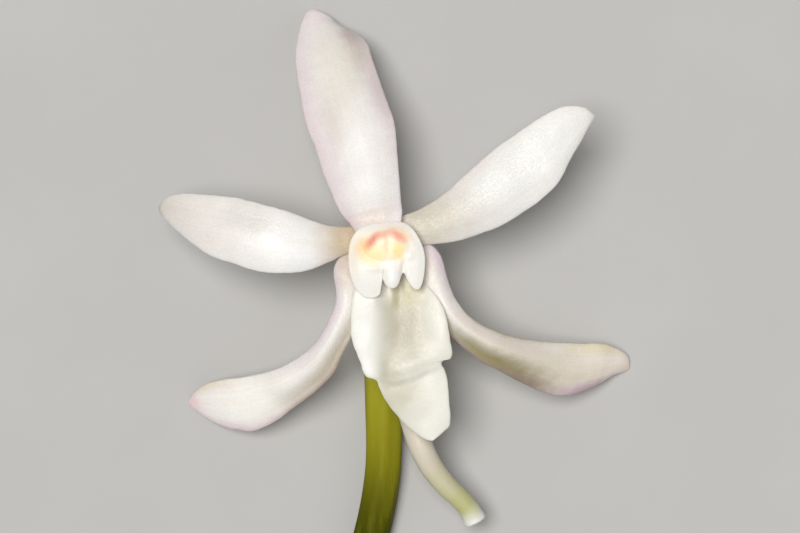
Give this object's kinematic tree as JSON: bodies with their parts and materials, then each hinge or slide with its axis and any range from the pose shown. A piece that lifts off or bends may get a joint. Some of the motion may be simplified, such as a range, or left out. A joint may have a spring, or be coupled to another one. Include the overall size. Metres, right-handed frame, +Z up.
{
  "type": "wind orchid flower",
  "caption": "White star-shaped wind orchid flower lying face up, with a folded lip, a curved spur, a yellow and red anther cap and a ribbed green stalk.",
  "frame": {"origin": "on the surface the flower lies on, under the middle of its bounding box", "axes": "+Z up, out of the flower's face; +Y from the stalk towards the dorsal sepal; +X towards the right petal as seen from above"},
  "size_m": [0.0322, 0.0384, 0.0105],
  "materials": {
    "sepal": "fleshy white flower tissue with a fine crystalline sheen, lilac-tinged margins and tips",
    "petal": "fleshy white flower tissue with a fine crystalline sheen, beige towards the base",
    "lip": "thick creamy white flower tissue, pale yellow-green in the throat and at the end of the spur",
    "column": "waxy white flower tissue",
    "anther_cap": "waxy, pale yellow with an orange left side and a red-pink upper edge",
    "stalk": "fresh olive green with paler lengthwise ribs"
  },
  "bodies": {
    "root": {"dorsal_sepal": "sepal", "left_petal": "petal", "right_petal": "petal", "left_lateral_sepal": "sepal", "right_lateral_sepal": "sepal", "lip": "lip", "column": "column", "anther_cap": "anther_cap", "pedicel": "stalk"}
  },
  "joints": []
}
